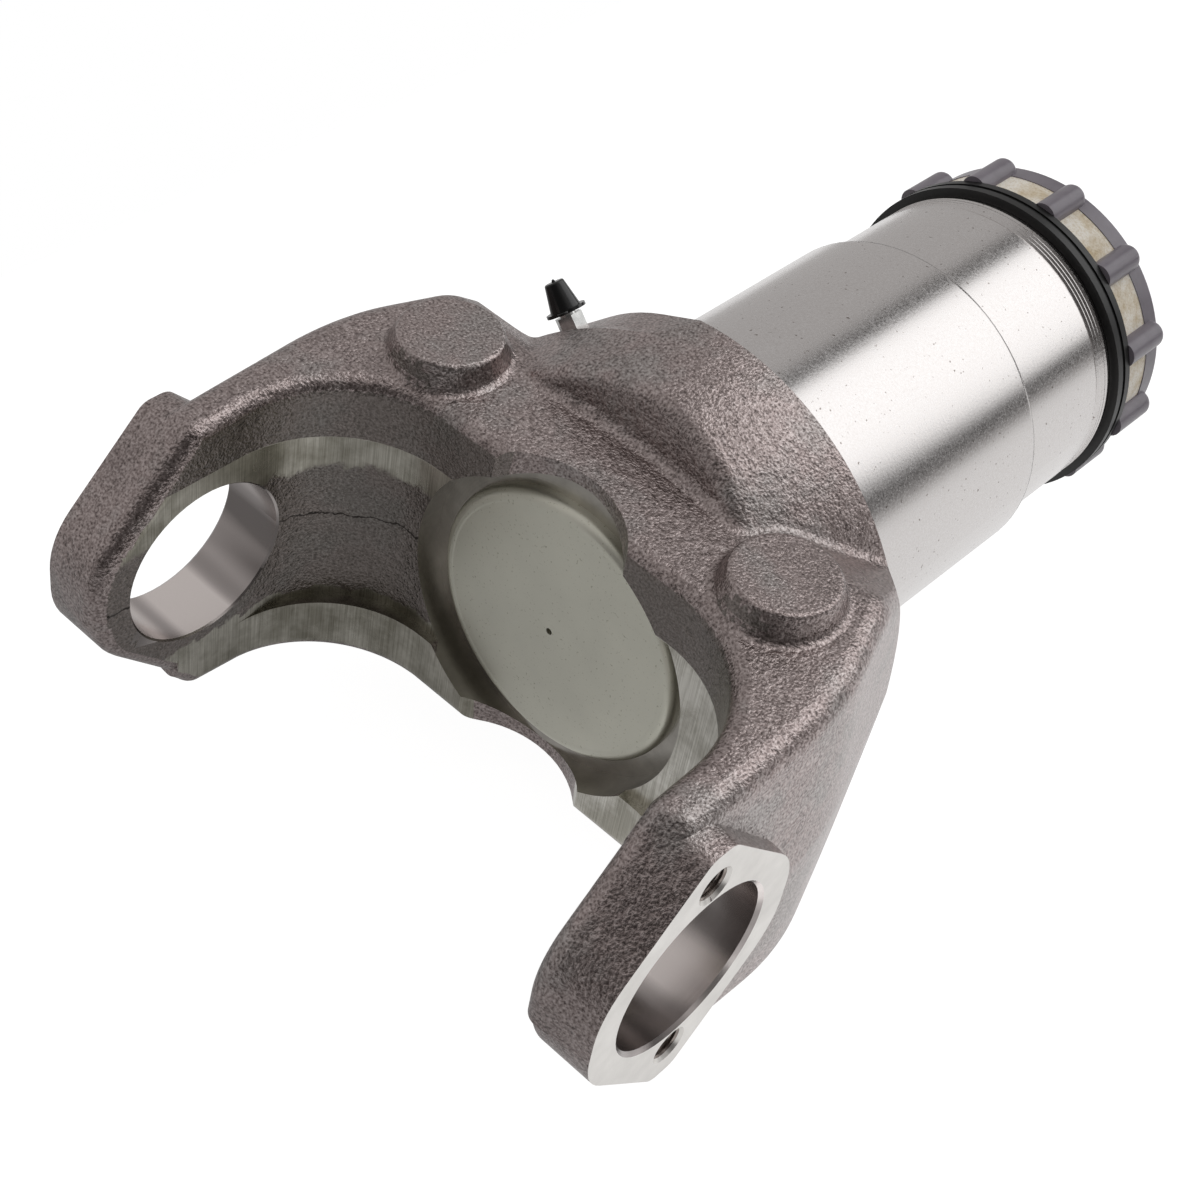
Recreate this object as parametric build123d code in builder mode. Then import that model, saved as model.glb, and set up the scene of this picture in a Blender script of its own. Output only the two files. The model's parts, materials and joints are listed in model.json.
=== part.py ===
"""Slip yoke of a heavy propeller shaft: a forged yoke with its machined sleeve, core plug, grease nipple and seal nut.

The X axis runs through the cross bore of the two ears. The Y axis is the shaft axis: the ears stand round the origin
and the sleeve runs towards +Y. The nipple and the raised pads that show are on the +Z side. Sizes are in millimetres.
"""

from build123d import *
from math import cos, sin, radians, sqrt, tan
import os

os.makedirs("parts", exist_ok=True)

# Universal joint that the ears carry
cross_length = 191.7
cup_diameter = 49.2
bore_clearance = 0.0
plate_bolt_spacing = 63.5
plate_bolt_diameter = 9.525
plate_bolt_depth = 16.0

# Ears
ear_thickness = 20.45
ear_flat_distance = 33.6
ear_half_height = 43.6
ear_reach = 34.3
ear_side_radius = 24.0
ear_tip_radius = 5.5
ear_draft = 6.0
ear_parting_z = -4.0
ear_inner_edge_radius = 5.0
bore_chamfer = 1.0
bore_inner_chamfer = 0.5
bolt_hole_chamfer = 0.8

# Arms, seen from above at the parting plane
arm_wall = 17.6
arm_bend_y = 52.0
arm_bend_radius = 80.0
arm_rear_x = 72.3
arm_draft = 5.0
arm_lower_draft = 1.5
throat_radius = 30.0
throat_floor_y = 50.3
throat_milled_height = 31.0
forged_throat_radius = 36.0
forged_throat_stock = 2.7
arm_edge_radius = 6.0
throat_edge_radius = 4.5

# Arms, seen from the side: height of the top face above the shaft axis
arm_tip_y = -9.0
arm_tip_height = 46.2
shelf_start_y = 62.0
shelf_height = 51.6
shelf_end_y = 82.0
arm_rear_height = 37.0
shelf_start_radius = 150.0
shelf_end_radius = 14.0

# Hub
hub_rear_y = 107.6
hub_radius = 71.3
hub_start_y = 64.0
hub_start_radius = 60.5
hub_crown = 1.4
hub_front_y = 76.0
hub_front_height = 50.0
hub_front_sweep = 150.0
hub_front_draft = 14.0
hub_edge_radius = 5.0
hub_foot_radius = 3.5

# Round pads on the arms
pad_x = 56.7
pad_y = 64.5
pad_height = 58.3
pad_root_height = 48.0
pad_radius = 14.1
pad_draft = 20.0
pad_edge_radius = 1.4
pad_foot_radius = 2.5

# Core plug and its seat
seat_radius = 47.2
seat_depth = 8.0
scallop_radius = 29.0
plug_radius = 41.0
plug_stand = 4.2
plug_crown = 1.6
plug_wall = 2.6
plug_skirt = 7.0
plug_edge_radius = 2.8
plug_inner_radius = 0.8
plug_vent_diameter = 2.0
plug_bore_depth = 12.0

# Sleeve and its bore
sleeve_radius = 51.1
sleeve_step_y = 204.8
sleeve_end_radius = 48.25
thread_start_y = 242.0
thread_radius = 47.55
sleeve_end_y = 257.0
sleeve_root_radius = 1.5
step_chamfer = 1.2
end_chamfer = 0.7
spline_minor_diameter = 61.7
spline_major_diameter = 76.2
bore_mouth_length = 16.0
bore_mouth_clearance = 0.6

# Seal nut and the rings in it
nut_clearance = 0.1
nut_start_y = 250.6
nut_skirt_radius = 49.3
nut_radius = 48.2
nut_wall = 2.0
window_start_y = 257.6
window_end_y = 270.2
nut_end_y = 276.7
nut_end_wall = 3.0
nut_edge_radius = 0.6
rib_count = 12
rib_phase = 25.0
rib_width = 8.6
rib_radius = 52.4
rib_end_y = 275.2
rib_end_radius = 3.0
shaft_clearance = 0.8
wiper_radius = 47.9
wiper_shaft_clearance = 0.4
seal_shaft_clearance = 0.05
ring_start_y = 250.0
ring_end_y = 256.3
ring_radius = 50.7
ring_groove_width = 1.4
ring_groove_depth = 0.5

# Grease nipple and its cap
nipple_angle = 134.0
nipple_y = 102.0
nipple_land_depth = 5.6
nipple_land_start_y = 90.0
nipple_land_width = 45.0
nipple_land_radius = 60.0
nipple_land_end_radius = 8.0
nipple_shoulder_angle = 115.0
nipple_shoulder_depth = 2.9
nipple_thread_diameter = 6.0
nipple_thread_length = 5.5
nipple_across_flats = 7.0
nipple_hex_height = 4.7
nipple_neck_diameter = 4.6
nipple_neck_height = 1.9
nipple_head_diameter = 6.5
nipple_head_height = 2.0
nipple_tip_diameter = 3.6
nipple_tip_height = 2.6
grease_hole_diameter = 3.0
nipple_bore_diameter = 1.6
cap_lift = 0.9
cap_flange_diameter = 11.2
cap_flange_height = 0.9
cap_height = 8.7
cap_base_diameter = 8.6
cap_top_diameter = 5.4
cap_top_radius = 0.6

# Sizes that follow from the ones above
ear_face_x = cross_length / 2
ear_inner_x = ear_face_x - ear_thickness
cross_bore_radius = cup_diameter / 2 + bore_clearance
seat_floor_y = throat_floor_y + seat_depth
spline_minor_radius = spline_minor_diameter / 2
spline_major_radius = spline_major_diameter / 2
nut_bore_radius = thread_radius + nut_clearance
arm_width_x = ear_inner_x + arm_wall
nipple_pad_distance = hub_radius - nipple_land_depth
forged_throat_y = throat_floor_y - forged_throat_stock
overrun = 5.0


def ear_outline():
    """Corners of the ear's eight-sided outline, as (y, z)."""
    reach = ear_flat_distance * sqrt(2)
    top_y = reach - ear_half_height
    side_z = reach - ear_reach
    corners = [(top_y, ear_half_height), (ear_reach, side_z), (ear_reach, -side_z), (top_y, -ear_half_height)]
    return corners + [(-y, z) for y, z in reversed(corners)]


def arm_plan(height, draft):
    """Outline of both arms and the hub between them, seen from above, drawn in by the draft at a height."""
    inset = abs(height) * tan(radians(draft))
    tip = (arm_width_x - inset, arm_tip_y)
    bend = (arm_width_x - inset, arm_bend_y)
    rear = (arm_rear_x - inset, hub_rear_y)
    with BuildSketch(Plane.XY.offset(height)) as plan:
        with BuildLine():
            FilletPolyline(tip, bend, rear, radius=arm_bend_radius)
            mirror(about=Plane.YZ)
            Line(tip, (-tip[0], tip[1]))
            Line(rear, (-rear[0], rear[1]))
        make_face()
    return plan.sketch


def throat_sketch(floor_y, corner_radius):
    """The opening between the arms, seen from above: straight walls, round corners and a flat floor."""
    with BuildSketch(Plane.XY) as throat:
        with Locations((0, floor_y - cross_length)):
            Rectangle(2 * ear_inner_x, 2 * cross_length)
        fillet(throat.vertices().group_by(Axis.Y)[-1], corner_radius)
    return throat.sketch


def around_shaft(angle, out, along):
    """Point (x, z) that is so far out from the shaft axis at an angle, and so far along the tangent there."""
    turn = radians(angle)
    return (out * cos(turn) - along * sin(turn), out * sin(turn) + along * cos(turn))


def ring_sketch(inner, outer, start, end):
    """Half section of a plain ring about the shaft axis."""
    with BuildSketch(Plane.XY) as section:
        with Locations(((inner + outer) / 2, (start + end) / 2)):
            Rectangle(outer - inner, end - start)
    return section.sketch


# Room that the arms' ends may take: behind the ears' two front flats, drafted as they are
with BuildPart() as behind_flats:
    with BuildSketch(Plane.YZ.offset(ear_face_x)):
        with BuildLine():
            flat_reach = ear_flat_distance * sqrt(2)
            Polyline(
                (-flat_reach, 0),
                (pad_height - flat_reach, pad_height),
                (hub_rear_y + overrun, pad_height),
                (hub_rear_y + overrun, -pad_height),
                (pad_height - flat_reach, -pad_height),
                close=True,
            )
        make_face()
    extrude(amount=-ear_face_x, taper=-ear_draft)
    mirror(about=Plane.YZ)

# Arms: the plan drawn out with draft, cut to the side view, then the throat
with BuildPart() as arms:
    loft([arm_plan(0, arm_draft), arm_plan(pad_height, arm_draft)], ruled=True)
    loft([arm_plan(0, arm_lower_draft), arm_plan(-pad_height, arm_lower_draft)], ruled=True)
    with BuildSketch(Plane.YZ) as side:
        with BuildLine():
            Polyline(
                (arm_tip_y, 0),
                (arm_tip_y, arm_tip_height),
                (shelf_start_y, shelf_height),
                (shelf_end_y, shelf_height),
                (hub_rear_y, arm_rear_height),
                (hub_rear_y, 0),
                close=True,
            )
        make_face()
        fillet(side.vertices().sort_by_distance((shelf_start_y, shelf_height))[0], shelf_start_radius)
        fillet(side.vertices().sort_by_distance((shelf_end_y, shelf_height))[0], shelf_end_radius)
        mirror(about=Plane.XZ)
    extrude(amount=arm_width_x + overrun, both=True, mode=Mode.INTERSECT)
    extrude(throat_sketch(forged_throat_y, forged_throat_radius), amount=pad_height, both=True, mode=Mode.SUBTRACT)
    high = arms.edges().filter_by(lambda e: abs(e.center().Z) > ear_flat_distance)
    inner_rims = high.filter_by(lambda e: e.center().Y < throat_floor_y + 1)
    inner_rims = inner_rims.filter_by(lambda e: abs(e.center().X) < ear_inner_x + 1)
    fillet(inner_rims, throat_edge_radius)
    high = arms.edges().filter_by(lambda e: abs(e.center().Z) > ear_flat_distance and e.center().Y > 0)
    long_way = high.filter_by(lambda e: e.bounding_box().size.Y > 1)
    outer_rims = long_way.filter_by(lambda e: abs(e.center().X) > ear_inner_x + 1 or e.center().Y > shelf_end_y)
    fillet(outer_rims, arm_edge_radius)
    add(behind_flats.part, mode=Mode.INTERSECT)
    ends = arms.edges(Select.LAST).filter_by(lambda e: abs(e.center().Z) - e.center().Y > flat_reach)
    fillet(ends.filter_by(lambda e: e.center().Y > arm_tip_y + 0.5), throat_edge_radius)

# Hub: a crowned round body with a steep front that sweeps forward into the arms
with BuildPart() as hub:
    with BuildSketch(Plane.XY) as dome:
        with BuildLine():
            SagittaArc((hub_radius, hub_rear_y), (hub_start_radius, hub_start_y), hub_crown)
            Polyline((hub_start_radius, hub_start_y), (0, hub_start_y), (0, hub_rear_y), (hub_radius, hub_rear_y))
        make_face()
    revolve(axis=Axis.Y)
    sweep_rise = hub_front_height * tan(radians(hub_front_draft))
    cone_rise = hub_radius * tan(radians(hub_front_draft))
    with Locations((0, hub_front_y - sweep_rise - hub_front_sweep, 0)):
        Cone(
            hub_front_sweep,
            hub_front_sweep + cone_rise,
            hub_radius,
            align=(Align.CENTER, Align.CENTER, Align.MIN),
            mode=Mode.SUBTRACT,
        )
        Cone(
            hub_front_sweep + cone_rise,
            hub_front_sweep,
            hub_radius,
            align=(Align.CENTER, Align.CENTER, Align.MAX),
            mode=Mode.SUBTRACT,
        )
    front_rims = hub.edges().filter_by(lambda e: abs(e.center().Z) > hub_front_height)
    fillet(front_rims.filter_by(GeomType.BSPLINE), hub_edge_radius)

# One ear: eight-sided boss, drafted wider towards the inside above the parting line and straight below it
ear_halves = []
for draft, keep in ((ear_draft, Keep.TOP), (0, Keep.BOTTOM)):
    with BuildPart() as ear_half:
        with BuildSketch(Plane.YZ.offset(ear_face_x)) as boss:
            with BuildLine():
                Polyline(*ear_outline(), close=True)
            make_face()
            fillet(boss.vertices().filter_by(lambda v: abs(v.X) > ear_reach - 1), ear_side_radius)
            fillet(boss.vertices().filter_by(lambda v: abs(v.Y) > ear_half_height - 1), ear_tip_radius)
        extrude(amount=-ear_thickness, taper=-draft)
        split(bisect_by=Plane.XY.offset(ear_parting_z), keep=keep)
        inner_rim = ear_half.faces().sort_by(Axis.X)[0].edges()
        fillet(inner_rim.filter_by(lambda e: abs(e.center().Z - ear_parting_z) > 1), ear_inner_edge_radius)
    ear_halves.append(ear_half.part)

# Raised round pads on top of the arms
with BuildPart() as pads:
    pad_rise = pad_height - pad_root_height
    with Locations((-pad_x, pad_y, pad_root_height), (pad_x, pad_y, pad_root_height)):
        Cone(
            pad_radius + pad_rise * tan(radians(pad_draft)),
            pad_radius,
            pad_rise,
            align=(Align.CENTER, Align.CENTER, Align.MIN),
        )
    fillet(pads.edges().group_by(Axis.Z)[-1], pad_edge_radius)

# Plane on the land where the grease nipple sits, facing outward
out_x, out_z = around_shaft(nipple_angle, 1, 0)
nipple_out = (out_x, 0, out_z)
nipple_seat = Plane(
    origin=(nipple_pad_distance * nipple_out[0], nipple_y, nipple_pad_distance * nipple_out[2]),
    x_dir=(0, 1, 0),
    z_dir=nipple_out,
)

# Land for the nipple: two flats with a wide round between them, run out forward into the arm
with BuildPart() as nipple_land:
    with BuildSketch(Plane.XZ.offset(-nipple_land_start_y)) as land:
        shoulder_distance = hub_radius - nipple_shoulder_depth
        lean = radians(nipple_angle - nipple_shoulder_angle)
        meeting = (nipple_pad_distance - shoulder_distance * cos(lean)) / sin(lean)
        start = around_shaft(nipple_shoulder_angle, shoulder_distance, -nipple_land_width)
        middle = around_shaft(nipple_shoulder_angle, shoulder_distance, meeting)
        end = around_shaft(nipple_angle, nipple_pad_distance, nipple_land_width)
        far_end = around_shaft(nipple_angle, 2 * nipple_pad_distance, nipple_land_width)
        far_start = around_shaft(nipple_shoulder_angle, 2 * shoulder_distance, -nipple_land_width)
        with BuildLine():
            FilletPolyline(start, middle, end, radius=nipple_land_radius)
            Polyline(end, far_end, far_start, start)
        make_face()
    extrude(amount=-hub_rear_y)
    front = nipple_land.edges().group_by(Axis.Y)[0]
    fillet(front.sort_by(Axis((0, 0, 0), nipple_out))[:3], nipple_land_end_radius)

# The yoke: forging and sleeve in one, then every machined surface
with BuildPart() as yoke:
    add(arms.part)
    add(hub.part)
    on_arms = yoke.edges(Select.LAST).filter_by(lambda e: abs(e.center().Z) > shelf_height - 1)
    hub_foot = on_arms.filter_by(lambda e: e.bounding_box().size.Z < 1 and abs(e.center().X) < hub_front_height)
    fillet(hub_foot, hub_foot_radius)
    add(pads.part)
    pad_foot = yoke.edges(Select.LAST).filter_by(lambda e: e.bounding_box().max.Z < shelf_height + 1)
    fillet(pad_foot, pad_foot_radius)
    with BuildSketch(Plane.XY) as rear_turning:
        with BuildLine():
            trim = hub_radius / 2
            Polyline(
                (hub_radius, hub_rear_y),
                (hub_radius + trim, hub_rear_y - trim),
                (hub_radius + trim, hub_rear_y + trim),
                (hub_radius, hub_rear_y + trim),
                close=True,
            )
        make_face()
    revolve(axis=Axis.Y, mode=Mode.SUBTRACT)
    for half in ear_halves:
        add(half)
        mirror(half, about=Plane.YZ)
    with BuildSketch(Plane.XY) as sleeve:
        with BuildLine():
            Polyline(
                (0, seat_floor_y),
                (sleeve_radius, seat_floor_y),
                (sleeve_radius, sleeve_step_y - step_chamfer),
                (sleeve_radius - step_chamfer, sleeve_step_y),
                (sleeve_end_radius, sleeve_step_y),
                (sleeve_end_radius, thread_start_y - sleeve_end_radius + thread_radius),
                (thread_radius, thread_start_y),
                (thread_radius, sleeve_end_y - end_chamfer),
                (thread_radius - end_chamfer, sleeve_end_y),
                (0, sleeve_end_y),
                close=True,
            )
        make_face()
    revolve(axis=Axis.Y)
    rings = yoke.edges().filter_by(GeomType.CIRCLE)
    root = rings.filter_by(lambda e: abs(e.radius - sleeve_radius) < 0.1 and abs(e.center().Y - hub_rear_y) < 0.1)
    fillet(root, sleeve_root_radius)

    # Throat milled to width and depth below the forged rims
    milled_throat = throat_sketch(throat_floor_y, throat_radius)
    extrude(milled_throat, amount=throat_milled_height, both=True, mode=Mode.SUBTRACT)

    # Cross bore through both ears
    with BuildSketch(Plane.YZ):
        Circle(cross_bore_radius)
    extrude(amount=cross_length, both=True, mode=Mode.SUBTRACT)
    rings = yoke.edges().filter_by(GeomType.CIRCLE).filter_by(lambda e: abs(e.radius - cross_bore_radius) < 0.1)
    chamfer(rings.filter_by(lambda e: abs(e.center().X) > ear_face_x - 1), bore_chamfer)
    rings = yoke.edges().filter_by(GeomType.CIRCLE).filter_by(lambda e: abs(e.radius - cross_bore_radius) < 0.1)
    chamfer(rings.filter_by(lambda e: abs(e.center().X) < ear_inner_x + 1), bore_inner_chamfer)

    # Blind threaded holes for the bearing plates, two in each ear face
    for face_plane in (Plane.YZ.offset(ear_face_x), Plane.YZ.offset(-ear_face_x).rotated((0, 180, 0))):
        with Locations(face_plane):
            with Locations((0, plate_bolt_spacing / 2), (0, -plate_bolt_spacing / 2)):
                CounterSinkHole(
                    plate_bolt_diameter / 2,
                    plate_bolt_diameter / 2 + bolt_hole_chamfer,
                    plate_bolt_depth,
                )

    # Seat for the core plug, the bore behind it and the shaft bore
    revolve(ring_sketch(0, seat_radius, ear_reach, seat_floor_y), axis=Axis.Y, mode=Mode.SUBTRACT)
    revolve(ring_sketch(0, plug_radius, ear_reach, seat_floor_y + plug_bore_depth), axis=Axis.Y, mode=Mode.SUBTRACT)
    revolve(ring_sketch(0, spline_minor_radius, ear_reach, nut_end_y), axis=Axis.Y, mode=Mode.SUBTRACT)
    mouth_radius = spline_major_radius + bore_mouth_clearance
    revolve(
        ring_sketch(0, mouth_radius, sleeve_end_y - bore_mouth_length, nut_end_y), axis=Axis.Y, mode=Mode.SUBTRACT
    )

    # Shallow scallops that break the front rim above and below the plug
    with BuildSketch(Plane.XY):
        with Locations((0, seat_floor_y - scallop_radius)):
            Circle(scallop_radius)
    extrude(amount=pad_height, both=True, mode=Mode.SUBTRACT)

    # Land, threaded hole and grease passage for the nipple
    add(nipple_land.part, mode=Mode.SUBTRACT)
    with BuildSketch(nipple_seat):
        Circle(nipple_thread_diameter / 2)
    extrude(amount=-nipple_thread_length - 2, mode=Mode.SUBTRACT)
    with BuildSketch(nipple_seat):
        Circle(grease_hole_diameter / 2)
    extrude(amount=-nipple_pad_distance, mode=Mode.SUBTRACT)

# Core plug: a shallow pressed cup with a crowned face and a vent
with BuildPart() as core_plug:
    plug_face_y = seat_floor_y - plug_stand
    plug_rear_y = seat_floor_y + plug_skirt
    inner = plug_radius - plug_wall
    with BuildSketch(Plane.XY) as shell:
        with BuildLine():
            TangentArc((0, plug_face_y - plug_crown), (plug_radius, plug_face_y), tangent=(1, 0))
            Polyline(
                (plug_radius, plug_face_y),
                (plug_radius, plug_rear_y),
                (inner, plug_rear_y),
                (inner, plug_face_y + plug_wall),
            )
            TangentArc((0, plug_face_y - plug_crown + plug_wall), (inner, plug_face_y + plug_wall), tangent=(1, 0))
            Line((0, plug_face_y - plug_crown + plug_wall), (0, plug_face_y - plug_crown))
        make_face()
        fillet(shell.vertices().sort_by_distance((plug_radius, plug_face_y))[0], plug_edge_radius)
        fillet(shell.vertices().sort_by_distance((inner, plug_face_y + plug_wall))[0], plug_inner_radius)
    revolve(axis=Axis.Y)
    with BuildSketch(Plane.XZ):
        Circle(plug_vent_diameter / 2)
    extrude(amount=-plug_rear_y, mode=Mode.SUBTRACT)

# Inside of the nipple's cap and outside of the nipple's head are the same shape
head_base = nipple_hex_height
head_top = head_base + nipple_neck_height + nipple_head_height

# Grease nipple: threaded shank, hexagon, neck and head, bored through
with BuildPart(nipple_seat) as nipple:
    Cylinder(nipple_thread_diameter / 2, nipple_thread_length, align=(Align.CENTER, Align.CENTER, Align.MAX))
    with BuildSketch(nipple_seat):
        RegularPolygon(nipple_across_flats / 2, 6, major_radius=False)
    extrude(amount=nipple_hex_height)
    with Locations((0, 0, head_base)):
        Cylinder(nipple_neck_diameter / 2, nipple_neck_height, align=(Align.CENTER, Align.CENTER, Align.MIN))
    with Locations((0, 0, head_base + nipple_neck_height)):
        Cylinder(nipple_head_diameter / 2, nipple_head_height, align=(Align.CENTER, Align.CENTER, Align.MIN))
    with Locations((0, 0, head_top)):
        Cone(
            nipple_head_diameter / 2,
            nipple_tip_diameter / 2,
            nipple_tip_height,
            align=(Align.CENTER, Align.CENTER, Align.MIN),
        )
    Cylinder(nipple_bore_diameter / 2, nipple_pad_distance, mode=Mode.SUBTRACT)

# Push-on cap over the nipple's head
cap_base = head_base + cap_lift
with BuildPart(nipple_seat) as nipple_cap:
    with Locations((0, 0, cap_base)):
        Cylinder(cap_flange_diameter / 2, cap_flange_height, align=(Align.CENTER, Align.CENTER, Align.MIN))
    with Locations((0, 0, cap_base + cap_flange_height)):
        Cone(
            cap_base_diameter / 2,
            cap_top_diameter / 2,
            cap_height - cap_flange_height,
            align=(Align.CENTER, Align.CENTER, Align.MIN),
        )
    fillet(nipple_cap.faces().sort_by(Axis(nipple_seat.origin, nipple_out))[-1].edges(), cap_top_radius)
    with Locations((0, 0, cap_base)):
        Cylinder(
            nipple_head_diameter / 2,
            head_top - cap_base,
            align=(Align.CENTER, Align.CENTER, Align.MIN),
            mode=Mode.SUBTRACT,
        )
    with Locations((0, 0, head_top)):
        Cone(
            nipple_head_diameter / 2,
            nipple_tip_diameter / 2,
            nipple_tip_height,
            align=(Align.CENTER, Align.CENTER, Align.MIN),
            mode=Mode.SUBTRACT,
        )

# Ribs of the seal nut, half round and set evenly about the shaft axis
with BuildPart() as ribs:
    with BuildSketch(Plane.XZ.offset(-ring_end_y)):
        with PolarLocations(rib_radius - rib_width / 2, rib_count, start_angle=rib_phase):
            Circle(rib_width / 2)
    extrude(amount=ring_end_y - rib_end_y)
    fillet(ribs.faces().filter_by(Axis.Y).group_by(Axis.Y)[-1].edges(), rib_end_radius)
    revolve(ring_sketch(0, wiper_radius, nut_start_y, nut_end_y), axis=Axis.Y, mode=Mode.SUBTRACT)

# Seal nut: threaded skirt and rimmed end joined by the ribs, with the windows between them
with BuildPart() as seal_nut:
    revolve(ring_sketch(nut_bore_radius, nut_skirt_radius, nut_start_y, window_start_y), axis=Axis.Y)
    revolve(ring_sketch(nut_radius - nut_wall, nut_radius, window_end_y, nut_end_y), axis=Axis.Y)
    shaft_hole = spline_major_radius + shaft_clearance
    revolve(ring_sketch(shaft_hole, nut_radius, nut_end_y - nut_end_wall, nut_end_y), axis=Axis.Y)
    fillet(seal_nut.edges().group_by(Axis.Y)[-1], nut_edge_radius)
    add(ribs.part)

# Felt wiper behind the windows
with BuildPart() as wiper:
    wiper_bore = spline_major_radius + wiper_shaft_clearance
    revolve(ring_sketch(wiper_bore, wiper_radius, window_start_y, window_end_y), axis=Axis.Y)

# Lip seal held in the nut's rim
with BuildPart() as lip_seal:
    lip_bore = spline_major_radius + seal_shaft_clearance
    revolve(ring_sketch(lip_bore, nut_radius - nut_wall, window_end_y, nut_end_y - nut_end_wall), axis=Axis.Y)

# Rubber ring round the nut's skirt, turned in over its front edge
with BuildPart() as dust_ring:
    revolve(ring_sketch(nut_bore_radius, ring_radius, ring_start_y, nut_start_y), axis=Axis.Y)
    revolve(ring_sketch(nut_skirt_radius, ring_radius, ring_start_y, ring_end_y), axis=Axis.Y)
    groove_start = (ring_start_y + ring_end_y - ring_groove_width) / 2
    groove = ring_sketch(
        ring_radius - ring_groove_depth, ring_radius + overrun, groove_start, groove_start + ring_groove_width
    )
    revolve(groove, axis=Axis.Y, mode=Mode.SUBTRACT)

nodes = {
    "yoke": yoke,
    "core_plug": core_plug,
    "grease_nipple": nipple,
    "nipple_cap": nipple_cap,
    "seal_nut": seal_nut,
    "wiper": wiper,
    "lip_seal": lip_seal,
    "dust_ring": dust_ring,
}
for name, built in nodes.items():
    built.part.label = name
    export_step(built.part, f"parts/{name}.step")
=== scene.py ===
import json
from functools import partial
from math import cos, pi, radians, sin

import bmesh
import bpy
from bpy.props import FloatProperty, FloatVectorProperty, IntProperty, PointerProperty
from mathutils import Matrix, Vector

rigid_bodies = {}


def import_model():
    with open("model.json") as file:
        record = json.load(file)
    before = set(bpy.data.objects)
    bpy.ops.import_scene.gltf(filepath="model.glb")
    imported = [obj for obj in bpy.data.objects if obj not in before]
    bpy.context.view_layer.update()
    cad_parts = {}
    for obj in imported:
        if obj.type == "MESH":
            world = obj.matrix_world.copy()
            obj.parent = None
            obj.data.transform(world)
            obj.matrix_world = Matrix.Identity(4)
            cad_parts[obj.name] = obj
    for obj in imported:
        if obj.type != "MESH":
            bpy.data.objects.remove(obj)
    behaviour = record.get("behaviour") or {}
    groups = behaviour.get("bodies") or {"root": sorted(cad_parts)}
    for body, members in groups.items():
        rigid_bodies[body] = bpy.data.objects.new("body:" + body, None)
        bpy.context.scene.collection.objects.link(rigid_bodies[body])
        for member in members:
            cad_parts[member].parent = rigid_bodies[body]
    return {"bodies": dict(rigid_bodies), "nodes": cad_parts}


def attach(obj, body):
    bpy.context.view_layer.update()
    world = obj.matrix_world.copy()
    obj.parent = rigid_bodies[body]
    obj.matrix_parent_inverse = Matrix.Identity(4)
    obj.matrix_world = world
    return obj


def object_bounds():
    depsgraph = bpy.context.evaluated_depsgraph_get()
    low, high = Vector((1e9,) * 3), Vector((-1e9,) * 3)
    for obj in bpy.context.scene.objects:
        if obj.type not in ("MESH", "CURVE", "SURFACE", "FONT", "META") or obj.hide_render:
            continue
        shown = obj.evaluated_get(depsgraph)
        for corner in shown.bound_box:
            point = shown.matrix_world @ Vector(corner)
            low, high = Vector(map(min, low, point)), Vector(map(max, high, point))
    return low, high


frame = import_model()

bl_info = {
    "name": "Slip yoke dressing",
    "version": (1, 0, 0),
    "blender": (4, 5, 0),
    "location": "3D View > Sidebar > Slip yoke",
    "description": "Dresses the packed slip yoke with its finishes, small pieces and studio",
    "category": "Object",
}

CAD_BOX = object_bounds()
BODY = next(iter(frame["bodies"]))
MM = 0.001

# Places on the yoke in millimetres, from the point where its two axes cross
EAR_FACE = CAD_BOX[1].x / MM
BOLT_LEVEL = 31.75


# Colours and nodes

def linear(hex_colour):
    """An sRGB hex colour as linear red, green, blue and alpha."""
    channels = [int(hex_colour[i:i + 2], 16) / 255 for i in (1, 3, 5)]
    return tuple(c / 12.92 if c <= 0.04045 else ((c + 0.055) / 1.055) ** 2.4 for c in channels) + (1.0,)


def add_node(tree, kind, inputs=None, out=0, stops=(), **settings):
    """Adds a node with its settings, fills its inputs with values or links, and gives one of its outputs."""
    node = tree.nodes.new("ShaderNode" + kind)
    for name, value in settings.items():
        setattr(node, name, value)
    for key, value in (inputs or {}).items():
        if isinstance(value, bpy.types.NodeSocket):
            tree.links.new(value, node.inputs[key])
        else:
            node.inputs[key].default_value = value
    for index, (position, colour) in enumerate(stops):
        elements = node.color_ramp.elements
        element = elements[index] if index < 2 else elements.new(position)
        element.position, element.color = position, linear(colour)
    return node.outputs[out]


def blobs(size_mm):
    """Scale at which a noise's blobs are about that wide."""
    return 1 / (2 * size_mm * MM)


def waves(spacing_mm):
    """Scale at which a wave texture, which turns 20 radians in a unit, repeats at that spacing."""
    return 2 * pi / (20 * spacing_mm * MM)


def new_material(name):
    """An empty material, a function that adds its nodes, and the place of a point in Object coordinates."""
    material = bpy.data.materials.new(name)
    material.use_nodes = True
    node = partial(add_node, material.node_tree)
    return material, node, node("TexCoord", out="Object")


def finish(material, values, links):
    """Uniform values go straight on the shader's sockets, and the rest is linked."""
    tree = material.node_tree
    shader = tree.nodes["Principled BSDF"]
    for key, value in values.items():
        shader.inputs[key].default_value = value
    for key, socket in links.items():
        tree.links.new(socket, shader.inputs[key])
    return material


# Finishes

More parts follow.
